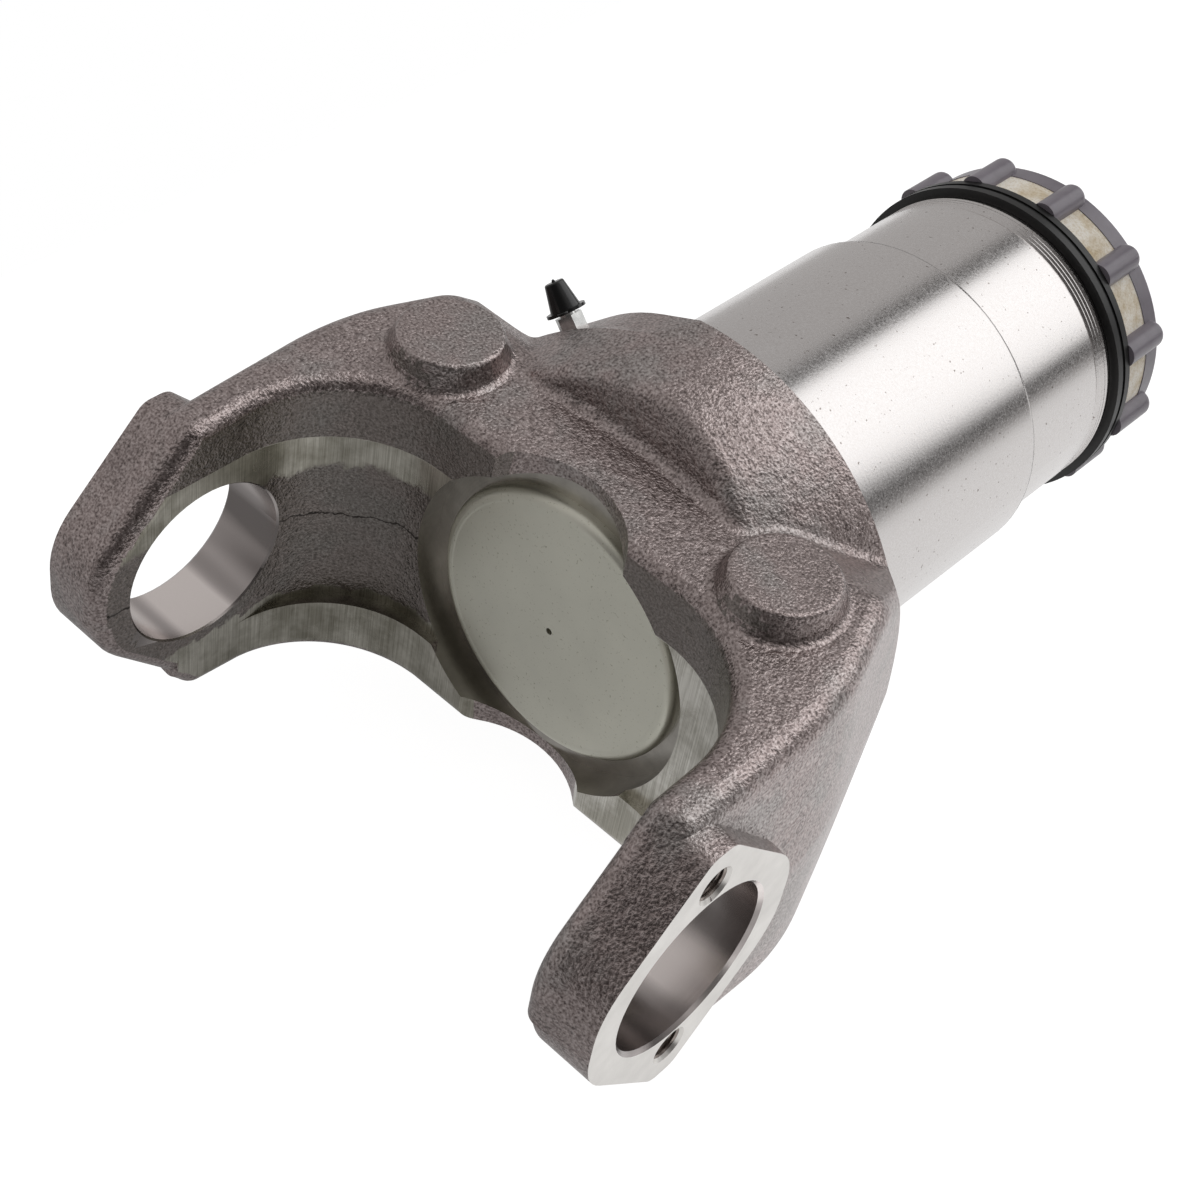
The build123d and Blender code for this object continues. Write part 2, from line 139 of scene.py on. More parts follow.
def forged_skin(node, place, grit):
    """Colour, roughness and normal of the forging's skin: warm dark steel, with painted shade in its fine
    dents.
    """
    dents = node("TexNoise", {"Vector": place, "Scale": blobs(grit / MM), "Detail": 2.0, "Roughness": 0.5})
    swells = node("TexNoise", {"Vector": place, "Scale": blobs(1.2), "Detail": 1.0, "Roughness": 0.5})
    mottle = node("TexNoise", {"Vector": place, "Scale": blobs(13), "Detail": 3.0, "Roughness": 0.6})
    tint = node("ValToRGB", {"Fac": mottle}, stops=((0.36, "#b4a9a7"), (0.64, "#bab4b2"), (0.5, "#c0b4b2")))
    # Painted shade: the colour darkens in the low parts of the dents and stays full on their crests.
    painted_dent_shade = node(
        "ValToRGB", {"Fac": dents}, stops=((0.26, "#7f7c7b"), (0.68, "#ffffff"), (0.46, "#cbc7c6")),
    )
    shade = node("Mix", {0: 1.0, 6: tint, 7: painted_dent_shade}, out=2, data_type="RGBA", blend_type="MULTIPLY")
    rough = node(
        "MapRange", {"Value": mottle, "From Min": 0.3, "From Max": 0.7, "To Min": 0.25, "To Max": 0.33},
    )
    normal = node("Bump", {"Height": swells, "Distance": 0.30 * MM})
    normal = node("Bump", {"Height": dents, "Distance": 0.28 * MM, "Normal": normal})
    return shade, rough, normal


def make_forging(grit):
    """Forged steel, shot-blasted: a dark grey skin with a purple-brown tinge that sparkles in fine grit."""
    material, node, place = new_material("Forged steel, shot-blasted")
    shade, rough, normal = forged_skin(node, place, grit)
    return finish(material, {"Metallic": 1.0}, {"Base Color": shade, "Roughness": rough, "Normal": normal})


def make_milled_throat(grit):
    """Forged steel, side-milled: bright upright scratches in bands, and the forged skin between them,
    darkened with painted shade.
    """
    material, node, place = new_material("Forged steel, side-milled in bands")
    shade, rough, normal = forged_skin(node, place, grit)
    x, _, z = (node("SeparateXYZ", {"Vector": place}, out=axis) for axis in "XYZ")

    # The cutter reached a high band and a low one on the left, and the whole wall on the right
    wander = node("TexNoise", {"Vector": place, "Scale": blobs(5), "Detail": 4.0, "Roughness": 0.65})
    wander = node("Math", {0: wander, 1: 0.5}, operation="SUBTRACT")
    height = node("Math", {0: wander, 1: 11 * MM, 2: z}, operation="MULTIPLY_ADD")
    upper, lower, right = (
        node("MapRange", {"Value": value, "From Min": low * MM, "From Max": high * MM},
             interpolation_type="SMOOTHSTEP")
        for value, low, high in ((height, 16.5, 18.5), (height, -27.5, -28.5), (x, -12, -4))
    )
    band = node("Math", {0: upper, 1: lower}, operation="MAXIMUM")
    band = node("Math", {0: band, 1: right}, operation="MAXIMUM")
    # Above the milled wall the skin is as forged
    below_top = node("Math", {0: z, 1: 31.2 * MM}, operation="LESS_THAN")
    band = node("Math", {0: band, 1: below_top}, operation="MULTIPLY")

    # Scratches 0.2 mm wide are coarser than the real ones, so that they show
    upright = node("Mapping", {"Vector": place, "Rotation": (0.04, 0.04, 0), "Scale": (1, 1, 0.02)})
    scratches = node("TexNoise", {"Vector": upright, "Scale": blobs(0.2), "Detail": 3.0})
    cut = node("ValToRGB", {"Fac": scratches}, stops=((0.32, "#c6c3ba"), (0.7, "#f2f0e8"), (0.5, "#e0ddd5")))
    sweeps = node("TexNoise", {"Vector": place, "Scale": blobs(7), "Detail": 4.0, "Roughness": 0.65})
    worn = node("ValToRGB", {"Fac": sweeps}, stops=((0.38, "#c8c7c2"), (0.62, "#ffffff")))
    # The left wall's cut is painted a little darker than the right wall's.
    darker_left = node(
        "Mix", {0: right, 6: linear("#d2d1cd"), 7: linear("#ffffff")}, out=2, data_type="RGBA",
    )
    for tone in (worn, darker_left):
        cut = node("Mix", {0: 1.0, 6: cut, 7: tone}, out=2, data_type="RGBA", blend_type="MULTIPLY")

    # The throat's forged skin is mixed towards olive grey as painted shade between the arms. Then a fine
    # line that the trimmed parting left half way up the left wall
    skin = node("Mix", {0: 0.6, 6: shade, 7: linear("#63605a")}, out=2, data_type="RGBA")
    level = node("Math", {0: wander, 1: 7 * MM, 2: z}, operation="MULTIPLY_ADD")
    away = node("Math", {0: level}, operation="ABSOLUTE")
    seam = node(
        "MapRange", {"Value": away, "From Min": 0.40 * MM, "From Max": 0.10 * MM},
        interpolation_type="SMOOTHSTEP",
    )
    skin = node("Mix", {0: seam, 6: skin, 7: linear("#3a3633")}, out=2, data_type="RGBA")

    shade = node("Mix", {0: band, 6: skin, 7: cut}, out=2, data_type="RGBA")
    cut_normal = node("Bump", {"Height": scratches, "Distance": 0.02 * MM})
    normal = node("Mix", {0: band, 4: normal, 5: cut_normal}, out=1, data_type="VECTOR")
    return finish(material, {"Metallic": 1.0}, {"Base Color": shade, "Roughness": rough, "Normal": normal})


def make_blasted_sleeve():
    """Steel, turned and fine-blasted: silver with a silky speckle that spreads reflections into bands."""
    material, node, place = new_material("Steel, turned and fine-blasted")
    # The speckle and the rings are coarser than the real ones, so that they show
    speckle = node("TexNoise", {"Vector": place, "Scale": blobs(0.35), "Detail": 2.0, "Roughness": 0.6})
    round_shaft = node("Mapping", {"Vector": place, "Scale": (0.02, 1, 0.02)})
    rings = node("TexNoise", {"Vector": round_shaft, "Scale": blobs(0.5), "Detail": 2.0})
    base = node("ValToRGB", {"Fac": speckle}, stops=((0.3, "#c8c4c2"), (0.7, "#d4d1d0")))
    spots = node("TexNoise", {"Vector": place, "Scale": blobs(0.6), "Detail": 1.0, "Roughness": 0.4})
    dirt = node("ValToRGB", {"Fac": spots}, stops=((0.72, "#ffffff"), (0.79, "#a8a19d")))
    shade = node("Mix", {0: 1.0, 6: base, 7: dirt}, out=2, data_type="RGBA", blend_type="MULTIPLY")
    rough = node(
        "MapRange", {"Value": speckle, "From Min": 0.3, "From Max": 0.7, "To Min": 0.19, "To Max": 0.28},
    )
    # The rounded edge of the step at y 204.8 mm: a bump rounds it, and its thin grey line is a painted
    # reflection of darker surroundings
    along = node("SeparateXYZ", {"Vector": place}, out="Y")
    edge = node("MapRange", {"Value": along, "From Min": 202.8 * MM, "From Max": 203.9 * MM})
    edge = node("Math", {0: edge, 1: 2.0}, operation="POWER")
    before_step = node("Math", {0: along, 1: 204.82 * MM}, operation="LESS_THAN")
    edge = node("Math", {0: edge, 1: before_step}, operation="MULTIPLY")
    shade = node("Mix", {0: edge, 6: shade, 7: linear("#7d7876")}, out=2, data_type="RGBA")
    normal = node("Bump", {"Height": speckle, "Distance": 0.012 * MM})
    normal = node("Bump", {"Height": rings, "Distance": 0.006 * MM, "Normal": normal})
    normal = node("Bump", {"Height": edge, "Distance": 0.3 * MM, "Normal": normal}, invert=True)
    return finish(material, {"Metallic": 1.0}, {"Base Color": shade, "Roughness": rough, "Normal": normal})


def make_milled_face():
    """Steel, face-milled: bright flat ears with the cutter's wide shallow arcs."""
    material, node, place = new_material("Steel, face-milled")
    # The arcs' middle lies 160 mm before the bore and 50 mm below it, and their spacing is coarser than real
    centre = node("Mapping", {"Vector": place, "Location": (0, 0.16, 0.05), "Scale": (0, 1, 1)})
    arcs = node(
        "TexWave", {"Vector": centre, "Scale": waves(1.2), "Distortion": 1.5, "Detail": 2.0}, out="Fac",
        wave_type="RINGS", rings_direction="SPHERICAL",
    )
    tone = node("TexNoise", {"Vector": place, "Scale": blobs(5), "Detail": 3.0, "Roughness": 0.6})
    shade = node("ValToRGB", {"Fac": tone}, stops=((0.3, "#d2cfcb"), (0.7, "#e2dfdb")))
    normal = node("Bump", {"Height": arcs, "Distance": 0.004 * MM})
    return finish(material, {"Metallic": 1.0, "Roughness": 0.34}, {"Base Color": shade, "Normal": normal})


def make_bored():
    """Steel, bored: fine rings of the boring bar, and soft light and dark streaks along the hole."""
    material, node, place = new_material("Steel, bored")
    across = node("Mapping", {"Vector": place, "Scale": (1, 0.02, 0.02)})
    rings = node("TexNoise", {"Vector": across, "Scale": blobs(0.22), "Detail": 3.0, "Roughness": 0.6})
    along = node("Mapping", {"Vector": place, "Scale": (0.12, 1, 1)})
    streaks = node("TexNoise", {"Vector": along, "Scale": blobs(8.5), "Detail": 1.5, "Roughness": 0.5})
    shade = node(
        "ValToRGB", {"Fac": streaks}, stops=((0.38, "#827c7a"), (0.62, "#e9e1de"), (0.5, "#b3acaa")),
    )
    normal = node("Bump", {"Height": rings, "Distance": 0.008 * MM})
    return finish(material, {"Metallic": 1.0, "Roughness": 0.24}, {"Base Color": shade, "Normal": normal})


def make_tapped():
    """Steel, tapped and oiled: dark brownish threads of the bolt holes."""
    material, node, place = new_material("Steel, tapped and oiled")
    film = node("TexNoise", {"Vector": place, "Scale": blobs(1.5), "Detail": 3.0, "Roughness": 0.6})
    shade = node("ValToRGB", {"Fac": film}, stops=((0.35, "#7d746f"), (0.65, "#a89f99")))
    normal = node("Bump", {"Height": film, "Distance": 0.02 * MM})
    return finish(material, {"Metallic": 1.0, "Roughness": 0.26}, {"Base Color": shade, "Normal": normal})


def make_turned():
    """Steel, turned: rings about the shaft's axis round the plug, on the hub's rear face and in the bore."""
    material, node, place = new_material("Steel, turned")
    # The rings' spacing is coarser than the real feed, so that they show
    rings = node(
        "TexWave", {"Vector": place, "Scale": waves(0.83), "Distortion": 0.6, "Detail": 1.0}, out="Fac",
        wave_type="RINGS", rings_direction="Y",
    )
    tone = node("TexNoise", {"Vector": place, "Scale": blobs(3), "Detail": 3.0, "Roughness": 0.6})
    shade = node("ValToRGB", {"Fac": tone}, stops=((0.3, "#a5a19b"), (0.7, "#b9b5ae")))
    normal = node("Bump", {"Height": rings, "Distance": 0.006 * MM})
    return finish(material, {"Metallic": 1.0, "Roughness": 0.3}, {"Base Color": shade, "Normal": normal})


def make_plug_steel():
    """Sheet steel, pressed and zinc-plated: satin grey with a green cast and a few dull spots."""
    material, node, place = new_material("Sheet steel, pressed and plated")
    cloud = node("TexNoise", {"Vector": place, "Scale": blobs(9), "Detail": 3.0, "Roughness": 0.55})
    fine = node("TexNoise", {"Vector": place, "Scale": blobs(0.4), "Detail": 2.0})
    base = node("ValToRGB", {"Fac": cloud}, stops=((0.3, "#dad9cc"), (0.7, "#e3e2d5")))
    spots = node("ValToRGB", {"Fac": fine}, stops=((0.64, "#ffffff"), (0.76, "#d2d1c8")))
    shade = node("Mix", {0: 1.0, 6: base, 7: spots}, out=2, data_type="RGBA", blend_type="MULTIPLY")
    rough = node(
        "MapRange", {"Value": cloud, "From Min": 0.3, "From Max": 0.7, "To Min": 0.38, "To Max": 0.46},
    )
    # Shallow rim that the press left 3 mm in from the edge
    flat = node("Mapping", {"Vector": place, "Scale": (1, 0, 1)})
    radius = node("VectorMath", {0: flat}, out="Value", operation="LENGTH")
    rim = node(
        "MapRange", {"Value": radius, "From Min": 36.8 * MM, "From Max": 37.6 * MM},
        interpolation_type="SMOOTHSTEP",
    )
    normal = node("Bump", {"Height": rim, "Distance": 0.05 * MM})
    normal = node("Bump", {"Height": fine, "Distance": 0.006 * MM, "Normal": normal})
    return finish(material, {"Metallic": 0.9}, {"Base Color": shade, "Roughness": rough, "Normal": normal})


def make_plated():
    """Steel, turned and zinc-plated: bright bluish silver of the grease nipple."""
    material, node, place = new_material("Steel, zinc-plated")
    tone = node("TexNoise", {"Vector": place, "Scale": blobs(1.2), "Detail": 3.0, "Roughness": 0.6})
    shade = node("ValToRGB", {"Fac": tone}, stops=((0.3, "#bcbcbb"), (0.7, "#d6d6d4")))
    normal = node("Bump", {"Height": tone, "Distance": 0.01 * MM})
    return finish(material, {"Metallic": 1.0, "Roughness": 0.2}, {"Base Color": shade, "Normal": normal})


def make_moulded(name, dark, light, roughness, grain_mm, depth_mm):
    """Moulded plastic or rubber: an even colour that the mould's texture breaks a little."""
    material, node, place = new_material(name)
    tone = node("TexNoise", {"Vector": place, "Scale": blobs(4), "Detail": 3.0, "Roughness": 0.6})
    texture = node("TexNoise", {"Vector": place, "Scale": blobs(grain_mm), "Detail": 2.0})
    shade = node("ValToRGB", {"Fac": tone}, stops=((0.3, dark), (0.7, light)))
    normal = node("Bump", {"Height": texture, "Distance": depth_mm * MM})
    values = {"Metallic": 0.0, "Roughness": roughness, "IOR": 1.5}
    return finish(material, values, {"Base Color": shade, "Normal": normal})


def make_felt():
    """Wool felt, pressed: cream with brown mottles and a fibrous surface."""
    material, node, place = new_material("Wool felt, pressed")
    mottle = node("TexNoise", {"Vector": place, "Scale": blobs(4.5), "Detail": 4.0, "Roughness": 0.6})
    # Fibres drawn coarser than real ones, so that they show
    fibres = node("TexNoise", {"Vector": place, "Scale": blobs(0.35), "Detail": 3.0, "Roughness": 0.7})
    base = node("ValToRGB", {"Fac": mottle}, stops=((0.32, "#d8c6a4"), (0.56, "#fffaf0")))
    lint = node("ValToRGB", {"Fac": fibres}, stops=((0.36, "#ece6da"), (0.56, "#ffffff")))
    shade = node("Mix", {0: 1.0, 6: base, 7: lint}, out=2, data_type="RGBA", blend_type="MULTIPLY")
    normal = node("Bump", {"Height": fibres, "Distance": 0.12 * MM})
    values = {"Metallic": 0.0, "Roughness": 0.95, "Sheen Weight": 0.3}
    return finish(material, values, {"Base Color": shade, "Normal": normal})


# Meshes

def assign(cad_node, material):
    """Puts one material on a whole CAD node."""
    mesh = frame["nodes"][cad_node].data
    mesh.materials.clear()
    mesh.materials.append(material)


def piece_from(bm, name, material, smooth=True):
    """Makes the bmesh an object that rides on the body."""
    bmesh.ops.recalc_face_normals(bm, faces=bm.faces)
    for face in bm.faces:
        face.smooth = smooth
    mesh = bpy.data.meshes.new(name)
    bm.to_mesh(mesh)
    bm.free()
    mesh.materials.append(material)
    piece = bpy.data.objects.new(name, mesh)
    bpy.context.scene.collection.objects.link(piece)
    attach(piece, BODY)


def turned(outline_mm, steps):
    """A ring spun about the Y axis from its closed half section, given as (radius, y) in millimetres."""
    bm = bmesh.new()
    verts = [bm.verts.new((r * MM, y * MM, 0)) for r, y in outline_mm]
    edges = [bm.edges.new((verts[i - 1], verts[i])) for i in range(len(verts))]
    bmesh.ops.spin(
        bm, geom=verts + edges, cent=(0, 0, 0), axis=(0, 1, 0), angle=2 * pi, steps=steps, use_merge=True,
    )
    bmesh.ops.remove_doubles(bm, verts=bm.verts, dist=0.001 * MM)
    return bm


def thread_outline(root, crest, back, start, turns, pitch):
    """Half section of a thread's turns as (radius, y) in millimetres; the back closes it."""
    foot = root + (crest - root) * 0.2
    outline = [(root, start)]
    for turn in range(turns):
        # Each turn rises from its foot to a narrow crest and falls again, at these shares of the pitch
        for share, radius in ((0.1, foot), (0.42, crest), (0.58, crest), (0.9, foot)):
            outline.append((radius, start + turn * pitch + share * pitch))
    end = start + turns * pitch
    return outline + [(root, end), (back, end), (back, start)]


# Settings

class YokeSizes(bpy.types.PropertyGroup):
    """Sizes that a user may change."""

    grit: FloatProperty(
        name="Grit size", description="Width of the forging's blasted dents",
        default=0.36 * MM, min=0.2 * MM, max=2 * MM, unit="LENGTH", subtype="DISTANCE",
    )
    thread_pitch: FloatProperty(
        name="Thread pitch", description="Pitch of the fine thread on the sleeve's end",
        default=1.5 * MM, unit="LENGTH", subtype="DISTANCE",
    )
    ring_steps: IntProperty(
        name="Ring steps", description="Segments of each turned ring", default=160, min=32, max=360,
    )


class YokeStage(bpy.types.PropertyGroup):
    """The studio round the part."""

    lens: FloatProperty(
        name="Lens", description="Focal length of the camera", default=65.69, subtype="DISTANCE_CAMERA",
    )
    lamp_strength: FloatProperty(
        name="Soft light", description="Brightness of the big soft light", default=1.65, min=0.0, max=10.0,
    )
    wall_colour: FloatVectorProperty(
        name="Walls", description="Colour of the studio's walls", default=linear("#c0bebd")[:3],
        subtype="COLOR", min=0.0, max=1.0,
    )


# Operators

class YOKE_OT_forging(bpy.types.Operator):
    """Puts the forged, milled, bored and turned finishes on the yoke's own faces"""

    bl_idname = "yoke.forging"
    bl_label = "Finish the forging"

    # Limits of the machined places in millimetres, each just past the surface that it takes in
    sleeve_start = 107
    sleeve_end = 260
    sleeve_reach = 51.6
    sleeve_inside = 44
    plug_seat = 50.6
    plug_seat_reach = 47.6
    cross_bore_reach = 26.5
    bolt_reach = 6.5
    bolt_bottom = 77
    bolt_cone = 93
    ear_inside = 74
    throat_half_width = 75.6
    throat_end = 51
    ledge = -31

    def execute(self, context):
        grit = context.scene.yoke_sizes.grit
        finishes = {
            "skin": make_forging(grit),
            "throat": make_milled_throat(grit),
            "sleeve": make_blasted_sleeve(),
            "face": make_milled_face(),
            "bore": make_bored(),
            "tap": make_tapped(),
            "lathe": make_turned(),
        }
        mesh = frame["nodes"]["yoke"].data
        mesh.materials.clear()
        for material in finishes.values():
            mesh.materials.append(material)
        order = list(finishes)
        for polygon in mesh.polygons:
            polygon.material_index = order.index(self.finish_of(polygon.center / MM, polygon.normal))
        return {"FINISHED"}

    def finish_of(self, middle, normal):
        """The finish of a face of the forging, by where it lies and which way it looks."""
        x, y, z = middle
        from_shaft = Vector((x, z)).length
        from_cross = Vector((y, z)).length
        from_bolt = Vector((y, abs(z) - BOLT_LEVEL)).length
        in_throat = abs(x) < self.throat_half_width
        looks_out, looks_back = abs(normal.x) > 0.99, normal.y > 0.99
        upright, looks_up = abs(normal.z) < 0.35, normal.z > 0.9
        if y > self.sleeve_start and from_shaft < self.sleeve_reach:
            return "sleeve" if from_shaft > self.sleeve_inside else "lathe"
        if y > self.sleeve_start and looks_back:
            return "lathe"
        if abs(x) > EAR_FACE - 1 and looks_out:
            return "face"
        if abs(x) > self.ear_inside and from_cross < self.cross_bore_reach:
            return "bore"
        if abs(x) > self.bolt_bottom and from_bolt < self.bolt_reach:
            # The cone at the hole's mouth is bright like the face, and the thread below it is dark
            return "face" if abs(x) > self.bolt_cone and abs(normal.x) > 0.2 else "tap"
        if self.plug_seat < y < self.sleeve_end and from_shaft < self.plug_seat_reach:
            return "lathe"
        if in_throat and y < self.plug_seat and upright:
            return "throat"
        if in_throat and y < self.throat_end and looks_up and abs(z - self.ledge) < 0.5:
            return "throat"
        return "skin"


class YOKE_OT_plug(bpy.types.Operator):
    """Gives the core plug its pressed and plated finish"""

    bl_idname = "yoke.plug"
    bl_label = "Finish the core plug"

    def execute(self, context):
        assign("core_plug", make_plug_steel())
        return {"FINISHED"}


class YOKE_OT_nipple(bpy.types.Operator):
    """Finishes the grease nipple and its cap, and adds the cap's nib and the ear that lifts it"""

    bl_idname = "yoke.nipple"
    bl_label = "Finish the grease nipple"

    # The nipple stands on the hub at this angle round the shaft and place along it
    angle = radians(134)
    along = 102 * MM

    nib_radius = 0.5 * MM
    nib_stretch = 1.5
    tab_radius = 1.6 * MM
    tab_depth = 0.8 * MM
    tab_edge = 0.2 * MM
    tab_lift = 0.42 * MM
    tab_reach = 5.2 * MM
    tab_side = (0.78, 0.62, 0)
    round_steps = 24
    sharp = radians(60)

    def execute(self, context):
        assign("grease_nipple", make_plated())
        plastic = make_moulded("Polyethylene, moulded black", "#0d0d0e", "#151516", 0.2, 0.8, 0.01)
        assign("nipple_cap", plastic)
        axis = Vector((cos(self.angle), 0, sin(self.angle)))
        heights = [vertex.co.dot(axis) for vertex in frame["nodes"]["nipple_cap"].data.vertices]
        self.add_nib(axis, max(heights), plastic)
        self.add_tab(axis, min(heights), plastic)
        return {"FINISHED"}

    def stand_up(self, bm, axis, height):
        """Stands what was made upright on the nipple's axis, at a height over the shaft's axis."""
        turn = axis.to_track_quat("Z", "Y").to_matrix().to_4x4()
        place = Matrix.Translation(axis * height + Vector((0, self.along, 0)))
        bmesh.ops.transform(bm, matrix=place @ turn, verts=bm.verts)

    def add_nib(self, axis, top, plastic):
        """The round nib that the mould's gate left on the crown."""
        bm = bmesh.new()
        bmesh.ops.create_uvsphere(
            bm, u_segments=self.round_steps, v_segments=self.round_steps // 2, radius=self.nib_radius,
        )
        bmesh.ops.scale(bm, verts=bm.verts, vec=(1, 1, self.nib_stretch))
        self.stand_up(bm, axis, top)
        piece_from(bm, "cap_nib", plastic)

    def add_tab(self, axis, bottom, plastic):
        """The thin ear on the flange that lets a thumb lift the cap."""
        bm = bmesh.new()
        bmesh.ops.create_cone(
            bm, cap_ends=True, segments=self.round_steps, radius1=self.tab_radius, radius2=self.tab_radius,
            depth=self.tab_depth,
        )
        rims = [edge for edge in bm.edges if edge.calc_face_angle() > self.sharp]
        bmesh.ops.bevel(
            bm, geom=rims, offset=self.tab_edge, segments=2, profile=0.5, affect="EDGES", material=-1,
        )
        bmesh.ops.translate(bm, verts=bm.verts, vec=Vector(self.tab_side) * self.tab_reach)
        self.stand_up(bm, axis, bottom + self.tab_lift)
        piece_from(bm, "cap_tab", plastic)


class YOKE_OT_threads(bpy.types.Operator):
    """Adds the fine thread in front of the rubber ring and the threads of the ears' bolt holes"""

    bl_idname = "yoke.threads"
    bl_label = "Add the threads"

    # Radii of the root, the crest and the back, and where the first of the turns starts, in millimetres
    sleeve_thread = {"root": 47.4, "crest": 48.2, "back": 46.8, "start": 242.6, "turns": 4}
    bolt_thread = {"root": 4.68, "crest": 4.25, "back": 4.74, "start": 0, "turns": 12}
    bolt_pitch = 25.4 / 24
    bolt_mouth_depth = 0.95

    def execute(self, context):
        sizes = context.scene.yoke_sizes
        outline = thread_outline(pitch=sizes.thread_pitch / MM, **self.sleeve_thread)
        steel = bpy.data.materials["Steel, turned and fine-blasted"]
        piece_from(turned(outline, sizes.ring_steps), "sleeve_thread", steel, smooth=False)
        outline = thread_outline(pitch=self.bolt_pitch, **self.bolt_thread)
        oiled = bpy.data.materials["Steel, tapped and oiled"]
        top = (EAR_FACE - self.bolt_mouth_depth) * MM
        for number, (side, level) in enumerate(((1, 1), (1, -1), (-1, 1), (-1, -1)), 1):
            bm = turned(outline, sizes.ring_steps // 3)
            inward = Matrix.Rotation(side * pi / 2, 4, "Z")
            mouth = Matrix.Translation((side * top, 0, level * BOLT_LEVEL * MM))
            bmesh.ops.transform(bm, matrix=mouth @ inward, verts=bm.verts)
            piece_from(bm, f"bolt_thread_{number}", oiled, smooth=False)
        return {"FINISHED"}


class YOKE_OT_rings(bpy.types.Operator):
    """Finishes the seal nut, the felt wiper, the lip seal and the rubber ring"""

    bl_idname = "yoke.rings"
    bl_label = "Finish the seal nut"

    def execute(self, context):
        nylon = make_moulded("Nylon, moulded violet grey", "#777179", "#857f87", 0.33, 0.35, 0.010)
        assign("seal_nut", nylon)
        assign("wiper", make_felt())
        rubber = make_moulded("Rubber, moulded", "#131313", "#1b1b1b", 0.42, 0.5, 0.015)
        for seal in ("lip_seal", "dust_ring"):
            assign(seal, rubber)
        return {"FINISHED"}


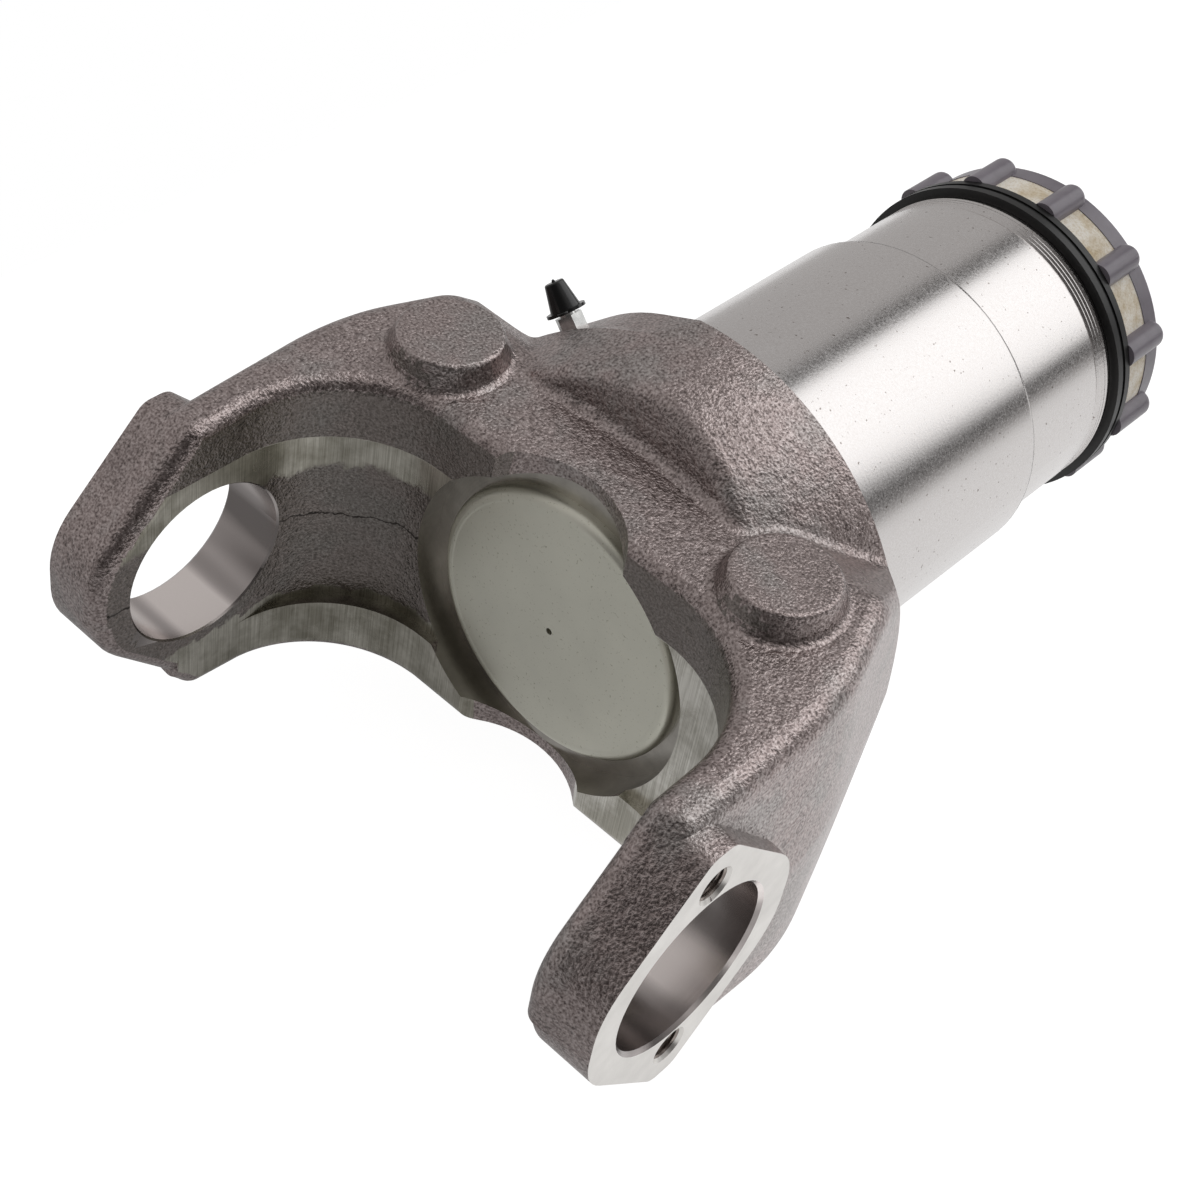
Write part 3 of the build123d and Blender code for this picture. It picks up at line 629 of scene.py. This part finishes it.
class YOKE_OT_stage(bpy.types.Operator):
    """Sets up the floor, the soft light, the white surroundings and the camera"""

    bl_idname = "yoke.stage"
    bl_label = "Set up the studio"

    # The sheet's half length and left end in metres, and its gap under the part
    floor_reach = 1.5
    floor_left = -0.28
    floor_gap = 0.2 * MM

    # The lamp's height over the horizon, and its turn from straight behind the sleeve
    lamp_lift = radians(34)
    lamp_turn = radians(21)
    # Half width, bottom, top and softness of the lamp and of the dark frame beside its lower part, as slopes
    lamp_edges = (0.41, -0.43, 1.10, 0.05)
    frame_edges = (0.62, -0.64, 0.55, 0.08)

    # The camera's place in metres, and its turn as azimuth, elevation and roll
    camera_place = (0.236932, -0.271638, 0.412400)
    camera_azimuth = radians(-55.4742)
    camera_elevation = radians(44.7043)
    camera_roll = radians(11.5284)

    def execute(self, context):
        stage = context.scene.yoke_stage
        self.floor(context)
        self.world(context, stage)
        self.camera(context, stage)
        return {"FINISHED"}

    def floor(self, context):
        """A white sheet that ends just left of the part, so that metal mirrors the grey wall there."""
        bm = bmesh.new()
        bmesh.ops.create_grid(bm, x_segments=1, y_segments=1, size=self.floor_reach)
        middle = (self.floor_reach + self.floor_left, 0, CAD_BOX[0].z - self.floor_gap)
        bmesh.ops.translate(bm, verts=bm.verts, vec=middle)
        mesh = bpy.data.meshes.new("studio_floor")
        bm.to_mesh(mesh)
        bm.free()
        floor = bpy.data.objects.new("studio_floor", mesh)
        context.scene.collection.objects.link(floor)
        mesh.materials.append(self.paper())

    def paper(self):
        """Paper, matt white: white to the camera apart from the part's faint shadow."""
        material = bpy.data.materials.new("Paper, matt white")
        material.use_nodes = True
        tree = material.node_tree
        tree.nodes.remove(tree.nodes["Principled BSDF"])
        node = partial(add_node, tree)
        from_camera, glossy, through = (
            node("LightPath", out=name) for name in ("Is Camera Ray", "Is Glossy Ray", "Is Transmission Ray")
        )
        mirrored = node("Math", {0: glossy, 1: through}, operation="MAXIMUM")
        seen = node("Math", {0: from_camera, 1: mirrored}, operation="MAXIMUM")
        # Metal mirrors the white too, darker towards the front as in the photograph
        place = node("TexCoord", out="Object")
        back = node("VectorMath", {0: place, 1: (1, 1, 0)}, out="Value", operation="DOT_PRODUCT")
        # Painted shade: reflections see the sheet darker towards the front, as if the part shaded it.
        painted_front_shade = node(
            "MapRange", {"Value": back, "From Min": -0.02, "From Max": 0.16, "To Min": 0.28, "To Max": 0.84},
            interpolation_type="SMOOTHSTEP",
        )
        # To the camera a little under 1, because the diffuse part that holds the shadow adds the rest
        strength = node("Mix", {0: mirrored, 2: 0.95, 3: painted_front_shade})
        white = node("Emission", {"Color": linear("#ffffff"), "Strength": strength})
        shadow = node("BsdfDiffuse", {"Color": linear("#8b8b8b")})
        background = node("AddShader", {0: white, 1: shadow})
        paper = node("BsdfDiffuse", {"Color": linear("#f4f4f4")})
        surface = node("MixShader", {0: seen, 1: paper, 2: background})
        tree.links.new(surface, tree.nodes["Material Output"].inputs["Surface"])
        return material

    def world(self, context, stage):
        """Grey studio walls, one big soft light with a dark frame, and white for the camera."""
        world = bpy.data.worlds.new("studio")
        context.scene.world = world
        world.use_nodes = True
        tree = world.node_tree
        node = partial(add_node, tree)
        direction = node("TexCoord", out="Generated")
        level = cos(self.lamp_lift)
        light = Vector((level * sin(self.lamp_turn), level * cos(self.lamp_turn), sin(self.lamp_lift)))
        side = Vector((0, 0, 1)).cross(light).normalized()
        parts = [
            node("VectorMath", {0: direction, 1: axis}, out="Value", operation="DOT_PRODUCT")
            for axis in (light, side, light.cross(side))
        ]
        lamp = self.window(node, *parts, *self.lamp_edges)
        surround = self.window(node, *parts, *self.frame_edges)
        walls = tuple(stage.wall_colour) + (1.0,)
        # The photographer's side is dark
        front = node("VectorMath", {0: direction, 1: (0.64, -0.77, 0)}, out="Value", operation="DOT_PRODUCT")
        dark_side = node(
            "MapRange", {"Value": front, "From Min": 0.3, "From Max": 0.7}, interpolation_type="SMOOTHSTEP",
        )
        studio = node("Mix", {0: dark_side, 6: walls, 7: linear("#5a5857")}, out=2, data_type="RGBA")
        studio = node("Mix", {0: surround, 6: studio, 7: linear("#2c2b2b")}, out=2, data_type="RGBA")
        glow = (stage.lamp_strength,) * 3 + (1.0,)
        lit = node("Mix", {0: lamp, 6: studio, 7: glow}, out=2, data_type="RGBA")
        camera_ray = node("LightPath", out="Is Camera Ray")
        colour = node("Mix", {0: camera_ray, 6: lit, 7: linear("#ffffff")}, out=2, data_type="RGBA")
        tree.links.new(colour, tree.nodes["Background"].inputs["Color"])

    def window(self, node, ahead, across, upward, wide, low, high, soft):
        """Where the view goes through a soft-edged upright window square to the lamp's direction."""
        mask = node("Math", {0: ahead, 1: 0.05}, operation="GREATER_THAN")
        for offset, middle, reach in ((across, 0, wide), (upward, (low + high) / 2, (high - low) / 2)):
            slope = node("Math", {0: offset, 1: ahead}, operation="DIVIDE")
            slope = node("Math", {0: slope, 1: middle}, operation="SUBTRACT")
            slope = node("Math", {0: slope}, operation="ABSOLUTE")
            edge = node(
                "MapRange", {"Value": slope, "From Min": reach + soft, "From Max": reach - soft},
                interpolation_type="SMOOTHSTEP",
            )
            mask = node("Math", {0: mask, 1: edge}, operation="MULTIPLY")
        return mask

    def camera(self, context, stage):
        """The photograph's viewpoint, found by least squares on the part's measured corners."""
        data = bpy.data.cameras.new("photo_camera")
        data.lens = stage.lens
        data.sensor_width = 36.0
        data.clip_start, data.clip_end = 0.01, 50.0
        camera = bpy.data.objects.new("photo_camera", data)
        context.scene.collection.objects.link(camera)
        level = cos(self.camera_elevation)
        back = Vector((
            level * cos(self.camera_azimuth), level * sin(self.camera_azimuth), sin(self.camera_elevation),
        ))
        turn = back.to_track_quat("Z", "Y").to_matrix().to_4x4() @ Matrix.Rotation(self.camera_roll, 4, "Z")
        camera.matrix_world = Matrix.Translation(self.camera_place) @ turn
        context.scene.camera = camera
        context.scene.view_settings.view_transform = "Standard"


OPERATORS = (
    YOKE_OT_forging, YOKE_OT_plug, YOKE_OT_nipple, YOKE_OT_threads, YOKE_OT_rings, YOKE_OT_stage,
)


class YOKE_PT_panel(bpy.types.Panel):
    """Lists the steps and the sizes"""

    bl_label = "Slip yoke"
    bl_idname = "YOKE_PT_panel"
    bl_space_type = "VIEW_3D"
    bl_region_type = "UI"
    bl_category = "Slip yoke"

    def draw(self, context):
        column = self.layout.column()
        for group in (context.scene.yoke_sizes, context.scene.yoke_stage):
            for name in group.__annotations__:
                column.prop(group, name)
        for operator in OPERATORS:
            column.operator(operator.bl_idname)


CLASSES = (YokeSizes, YokeStage, *OPERATORS, YOKE_PT_panel)


def register():
    for cls in CLASSES:
        bpy.utils.register_class(cls)
    bpy.types.Scene.yoke_sizes = PointerProperty(type=YokeSizes)
    bpy.types.Scene.yoke_stage = PointerProperty(type=YokeStage)


def unregister():
    del bpy.types.Scene.yoke_stage
    del bpy.types.Scene.yoke_sizes
    for cls in reversed(CLASSES):
        bpy.utils.unregister_class(cls)


def main():
    register()
    bpy.ops.yoke.forging()
    bpy.ops.yoke.plug()
    bpy.ops.yoke.nipple()
    bpy.ops.yoke.threads()
    bpy.ops.yoke.rings()
    bpy.ops.yoke.stage()


if __name__ == "__main__":
    main()
